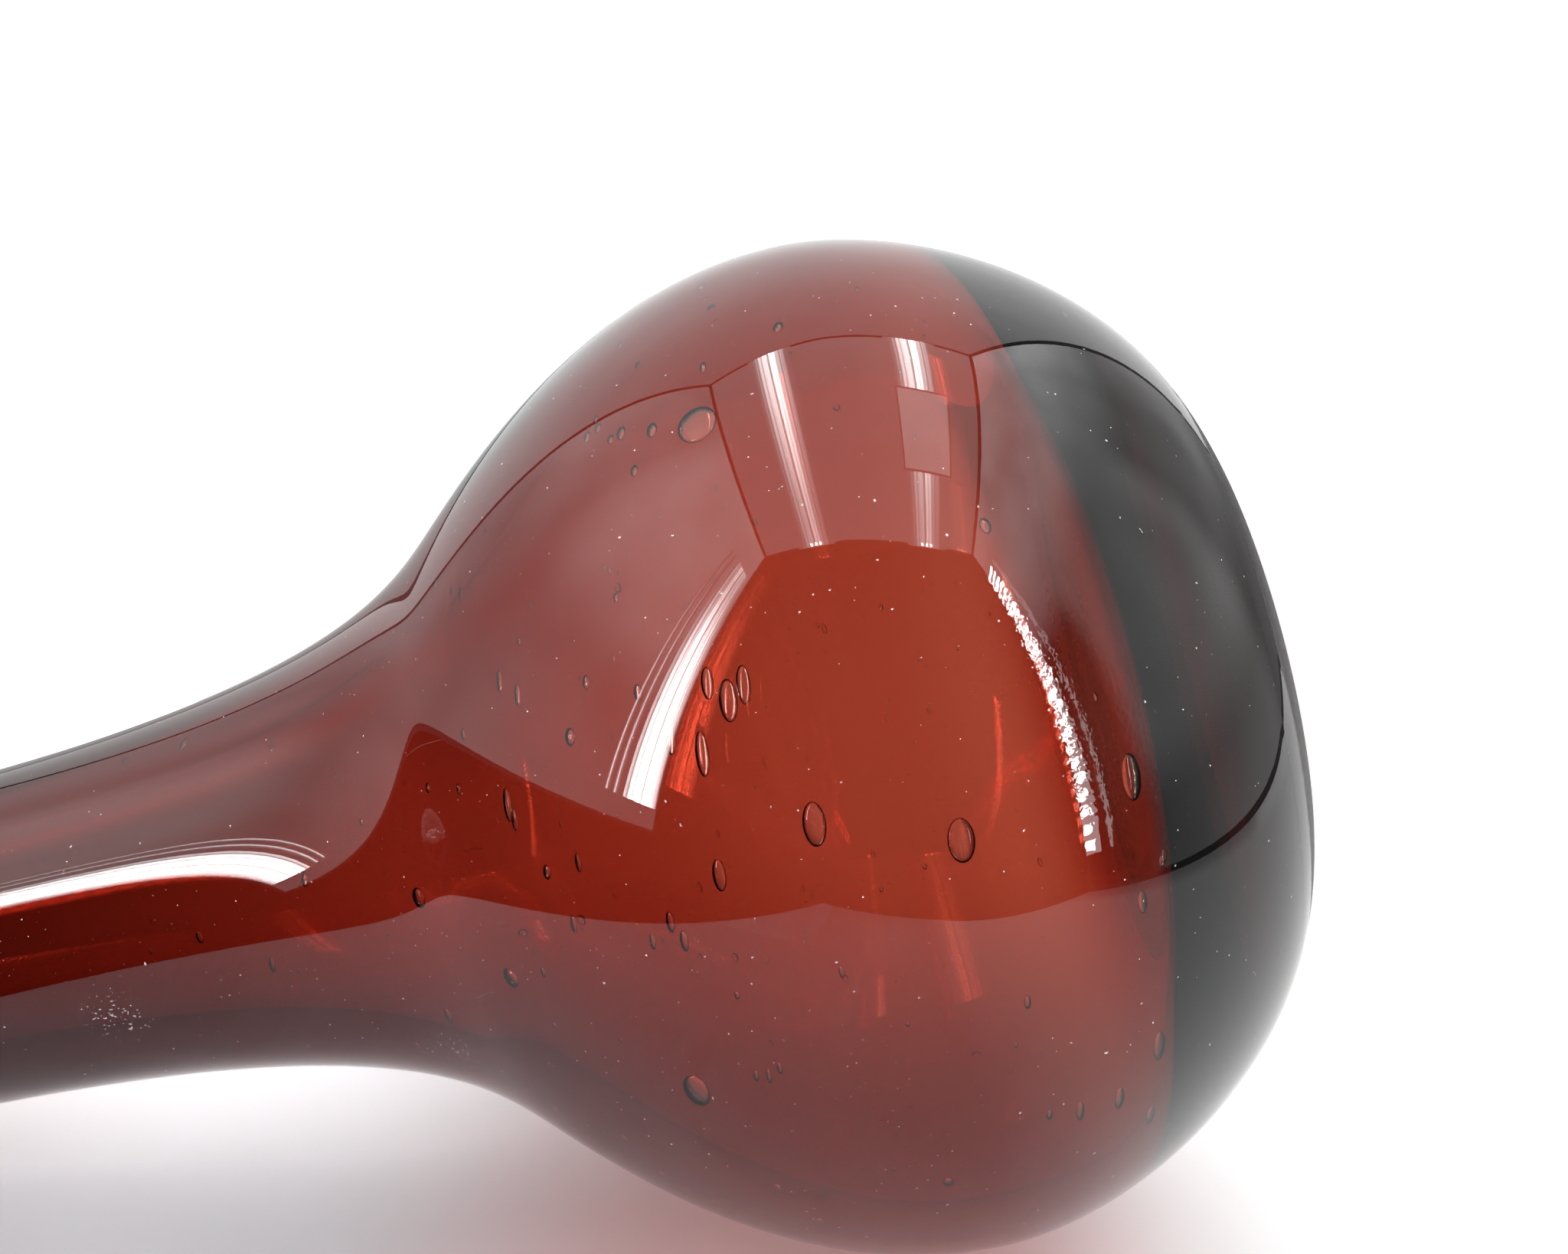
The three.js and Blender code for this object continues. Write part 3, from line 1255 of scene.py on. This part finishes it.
@dataclass
class Tent:
    """The lit cube of white cloth that the vase lies in, with its open front.

    Its panels are placed on its own axes. They show only in the glass, apart from the sheet under
    the vase.
    """

    axes: TentAxes = TentAxes()
    low: Vector = field(default_factory=lambda: Vector((-0.610, -0.0548, -0.429)))
    high: Vector = field(default_factory=lambda: Vector((0.402, 0.974, 0.555)))
    seam: float = 0.009
    sheet_edge: float = -0.145  # where the sheet under the vase ends on the left
    behind: float = 0.12  # how far away the floor behind the vase starts
    cloth: float = 1.1
    lamp: float = 36.0
    lamps_off_wall: float = 0.004
    strip_top: float = 0.784  # how high the strips of lamps reach
    bar_half: float = 0.085  # half the width of a bar of lamps on the ceiling
    right_lamps: int = 26

    def _panel(self, name: str, low: Sequence[float], high: Sequence[float],
               material: bpy.types.Material,
               rays: tuple[Ray, ...] = (Ray.DIFFUSE, Ray.GLOSSY, Ray.TRANSMISSION)) -> None:
        """Hangs a flat panel in the tent.

        Args:
            name: Its name.
            low: Its lowest corner in the tent's axes, level with high along one of them.
            high: Its highest corner.
            material: What it is made of.
            rays: The rays that meet it.
        """
        low, high = Vector(low), Vector(high)
        flat = min(range(3), key=lambda i: high[i] - low[i])
        middle, half = (low + high) / 2, (high - low) / 2
        half[flat] = 1.0
        turn = {0: Matrix.Rotation(math.pi / 2, 4, "Y"), 1: Matrix.Rotation(math.pi / 2, 4, "X"),
                2: Matrix.Identity(4)}[flat]
        shape = Matrix.Translation(middle) @ Matrix.Diagonal((*half, 1)) @ turn
        bm = bmesh.new()
        bmesh.ops.create_grid(bm, x_segments=1, y_segments=1, size=1,
                              matrix=self.axes.matrix @ shape)
        mesh = settle(bm, name)
        mesh.materials.append(material)
        made = put_up(name, mesh)
        for ray in Ray:
            setattr(made, f"visible_{ray.value}", ray in rays)

    def _hang_walls(self) -> None:
        """Hangs three walls and the ceiling, with a dark seam between each two."""
        low, high = self.low, self.high
        left = LampLitCloth("tent_left_cloth", self.cloth, unevenness=0.3, axes=self.axes)
        right = ShadedRightCloth("tent_right_cloth", self.cloth * 1.15, unevenness=0.4, axes=self.axes)
        ceiling = GlowingCloth("tent_ceiling_cloth", self.cloth * 1.25)
        back = GlowingCloth("tent_cloth", self.cloth)
        walls = {
            "tent_left": ((low.x, low.y, low.z), (low.x, high.y, high.z), left),
            "tent_right": ((high.x, low.y, low.z), (high.x, high.y, high.z), right),
            "tent_ceiling": ((low.x, high.y, low.z), (high.x, high.y, high.z), ceiling),
            "tent_back": ((low.x, low.y, high.z), (high.x, high.y, high.z), back),
        }
        for name, (start, end, finish) in walls.items():
            start, end = Vector(start), Vector(end)
            inset = Vector([self.seam if b > a else 0 for a, b in zip(start, end)])
            self._panel(name, start + inset, end - inset, finish.make())

    def _darken(self) -> None:
        """Darkens the open front, paints shade on the far floor, and paints shade on the left of
        the floor behind the vase.
        """
        low, high = self.low, self.high
        dark = GlowingCloth("open_front_and_floor_shade", 0.02, unevenness=0).make()
        dusk = GlowingCloth("front_through_glass", 0.4, unevenness=0).make()
        grey = FloorAtBack("floor_at_back", 1.0, unevenness=0, axes=self.axes).make()
        front = low, (high.x, high.y, low.z)
        self._panel("tent_front", *front, dark, (Ray.DIFFUSE, Ray.GLOSSY))
        self._panel("front_through_glass", *front, dusk, (Ray.TRANSMISSION,))
        # Painted shade: the far floor and its corner are dark sheets, seen only in mirror images
        floor, over = low.y + 0.001, low.y + 0.002
        self._panel("far_floor", (low.x, floor, low.z), (self.sheet_edge, floor, self.behind),
                    dark, (Ray.GLOSSY,))
        self._panel("far_corner", (low.x, over, self.behind), (-0.48, over, 0.20),
                    dark, (Ray.GLOSSY,))
        self._panel("floor_at_back", (low.x, floor, self.behind),
                    (0.10, floor, high.z - self.seam), grey, (Ray.GLOSSY,))

    def _hang_patch(self) -> None:
        """Hangs the patch that is sewn on the ceiling, with a dark hem."""
        level = self.high.y - 0.008
        low, high = Vector((0.11, level, -0.12)), Vector((0.29, level, 0.25))
        hem, lift = Vector((0.006, 0, 0.009)), Vector((0, 0.001, 0))
        self._panel("patch_hem", low, high, GlowingCloth("patch_hem", 0.7 * self.cloth).make())
        self._panel("patch", low + hem - lift, high - hem - lift,
                    GlowingCloth("patch", 2.7 * self.cloth).make())

    def _hang_bars(self, lamps: bpy.types.Material) -> None:
        """Hangs two bars of lamps on the ceiling, with three bright ends on each.

        Args:
            lamps: What the ends are made of.
        """
        half, top = self.bar_half, self.high.y - self.lamps_off_wall
        end_pitch, end_half = 0.02, Vector((0.005, 0, 0.006))
        for name, x in (("left", -0.346), ("right", 0.189)):
            bar = StreakyLamp(
                f"lamp_bar_{name}", self.lamp * 0.5, edge=self.cloth * 1.25, half=half,
                centre=self.axes.matrix @ Vector((x, top, 0)), across=self.axes.right,
                along=self.axes.away)
            self._panel(f"lamp_bar_{name}", (x - half, top, self.low.z),
                        (x + half, top, self.high.z), bar.make())
            for number in range(3):
                end = Vector((x + end_pitch * (number - 1), top - 0.002, self.low.z + 0.012))
                self._panel(f"lamp_end_{name}_{number}", end - end_half, end + end_half, lamps)

    def _hang_left_strips(self) -> None:
        """Hangs three strips of lamps on the left wall, the widest beside the open front."""
        x, foot, middle = self.low.x + self.lamps_off_wall, 0.004, 0.35
        for number, (near, far, share) in enumerate((
                (-0.414, -0.316, 2.0), (-0.300, -0.288, 0.3), (-0.276, -0.266, 0.3))):
            strip = StreakyLamp(
                f"lamp_strip_left_{number}", self.lamp * share, half=(far - near) * 0.8,
                centre=self.axes.matrix @ Vector((x, middle, (near + far) / 2)),
                across=self.axes.away, along=-self.axes.up, dim=0.12, streak=140.0)
            self._panel(f"lamp_strip_left_{number}", (x, foot, near), (x, self.strip_top, far),
                        strip.make())

    def _hang_right_strip(self, lamps: bpy.types.Material) -> None:
        """Hangs single lamps in a row up the right wall, on a dim backing with a dim edge.

        Args:
            lamps: What the lamps are made of.
        """
        x, foot = self.high.x - self.lamps_off_wall, 0.012
        backing = GlowingCloth("lamp_backing", self.lamp * 0.12, unevenness=0).make()
        edge = GlowingCloth("lamp_edges", self.lamp * 0.1, unevenness=0).make()
        self._panel("lamp_strip_right", (x, foot, -0.424), (x, self.strip_top, -0.376), backing)
        self._panel("lamp_edge_right", (x, foot, -0.352), (x, self.strip_top, -0.341), edge)
        first, pitch, size, widening = 0.018, 0.03, 0.018, 0.001
        for row in range(self.right_lamps):
            low = first + pitch * row
            self._panel(f"lamp_dot_{row}", (x - 0.002, low, -0.422),
                        (x - 0.002, low + size, -0.392 + widening * row), lamps)

    def _lay_floor(self) -> None:
        """Lays the floor: one for mirror images, one through the glass, one for the camera."""
        low, far_corner = self.low, (self.high.x, self.low.y, self.high.z)
        sheet = TentSheet("tent_floor", axes=self.axes,
                          tinted=self.axes.matrix @ Vector((0, low.y, -0.022)))
        under = replace(sheet, name="floor_under_vase", ends=True)
        through = FloorThroughGlass("floor_through_glass", 1.2, axes=self.axes)
        self._panel("tent_floor", low, far_corner, sheet.make(), (Ray.DIFFUSE, Ray.GLOSSY))
        self._panel("floor_under_vase", (-0.24, low.y, -0.07), (0.12, low.y, self.behind),
                    under.make(), (Ray.CAMERA,))
        self._panel("floor_through_glass", low, far_corner, through.make(), (Ray.TRANSMISSION,))

    def build(self) -> None:
        """Hangs the cloth and the lamps, and lays the floor that the vase lies on."""
        lamps = GlowingCloth("lamp_dots", self.lamp, unevenness=0).make()
        self._hang_walls()
        self._darken()
        self._hang_patch()
        self._hang_bars(lamps)
        self._hang_left_strips()
        self._hang_right_strip(lamps)
        self._lay_floor()
        LOG.info("tent: three walls, a ceiling, two bars and two strips of lamps")


@dataclass
class Table:
    """The plain pale floor that the upright vase stands on."""

    radius: float = 0.45
    finish: PaleSheet = PaleSheet("stage_floor")

    def build(self) -> None:
        """Makes the floor, which the glass neither mirrors nor shows through itself."""
        bm = bmesh.new()
        bmesh.ops.create_circle(bm, cap_ends=True, segments=96, radius=self.radius)
        mesh = settle(bm, "stage_floor")
        mesh.materials.append(self.finish.make())
        floor = put_up("stage_floor", mesh)
        floor.visible_glossy = floor.visible_transmission = False


@dataclass
class Studio:
    """What lies beyond the tent: white to the camera and through glass, dim in mirror images."""

    white: float = 1.1
    mirrored: float = 0.12

    def build(self) -> None:
        """Makes the world."""
        world = bpy.data.worlds.new("world")
        bpy.context.scene.world = world
        world.use_nodes = True
        bench = Bench(world.node_tree)
        rays = bench.node("ShaderNodeLightPath").outputs
        seen, through, mirrored = (Reading(bench, rays[f"Is {kind} Ray"])
                                   for kind in ("Camera", "Transmission", "Glossy"))
        shown = bench.node("ShaderNodeBackground", {}, {
            "Color": (1, 1, 1, 1),
            "Strength": (seen + through) * self.white + mirrored * self.mirrored})
        bench.node("ShaderNodeOutputWorld", {}, {"Surface": shown.outputs[0]})


@dataclass
class Camera:
    """The camera at the photograph's viewing angle, rolled so that the vase lies on its side."""

    place: Triple = (-0.050512, -0.166927, 0.04147)
    right: Triple = (-0.20140, 0.10617, -0.97374)
    down: Triple = (-0.90815, 0.35225, 0.22624)
    lens: float = 35.156
    sensor: float = 36.0
    nearest: float = 0.005

    def build(self) -> None:
        """Makes the camera and sets how light is followed and shown."""
        data = bpy.data.cameras.new("camera")
        data.lens, data.sensor_width, data.clip_start = self.lens, self.sensor, self.nearest
        camera = put_up("camera", data)
        right, up = Vector(self.right), -Vector(self.down)
        turn = Matrix((right, up, right.cross(up))).transposed().to_4x4()
        camera.matrix_world = Matrix.Translation(self.place) @ turn
        scene = bpy.context.scene
        scene.camera = camera
        scene.view_settings.view_transform = "Standard"
        scene.cycles.max_bounces = 32
        scene.cycles.transmission_bounces = 28
        scene.cycles.glossy_bounces = 12
        scene.cycles.diffuse_bounces = 2
        scene.cycles.transparent_max_bounces = 64
        scene.cycles.sample_clamp_indirect = 40.0


def main() -> None:
    """Builds the vase, its stage and its camera."""
    logging.basicConfig(level=logging.INFO, format="%(relativeCreated)6d ms  %(message)s")
    lines = VaseLines()
    for part in (InnerGather(lines), OuterGather(lines), FootPad(lines), LipBead(lines)):
        part.build()
    for setting in (Tent(), Table(), Studio(), Camera()):
        setting.build()


if __name__ == "__main__":
    main()
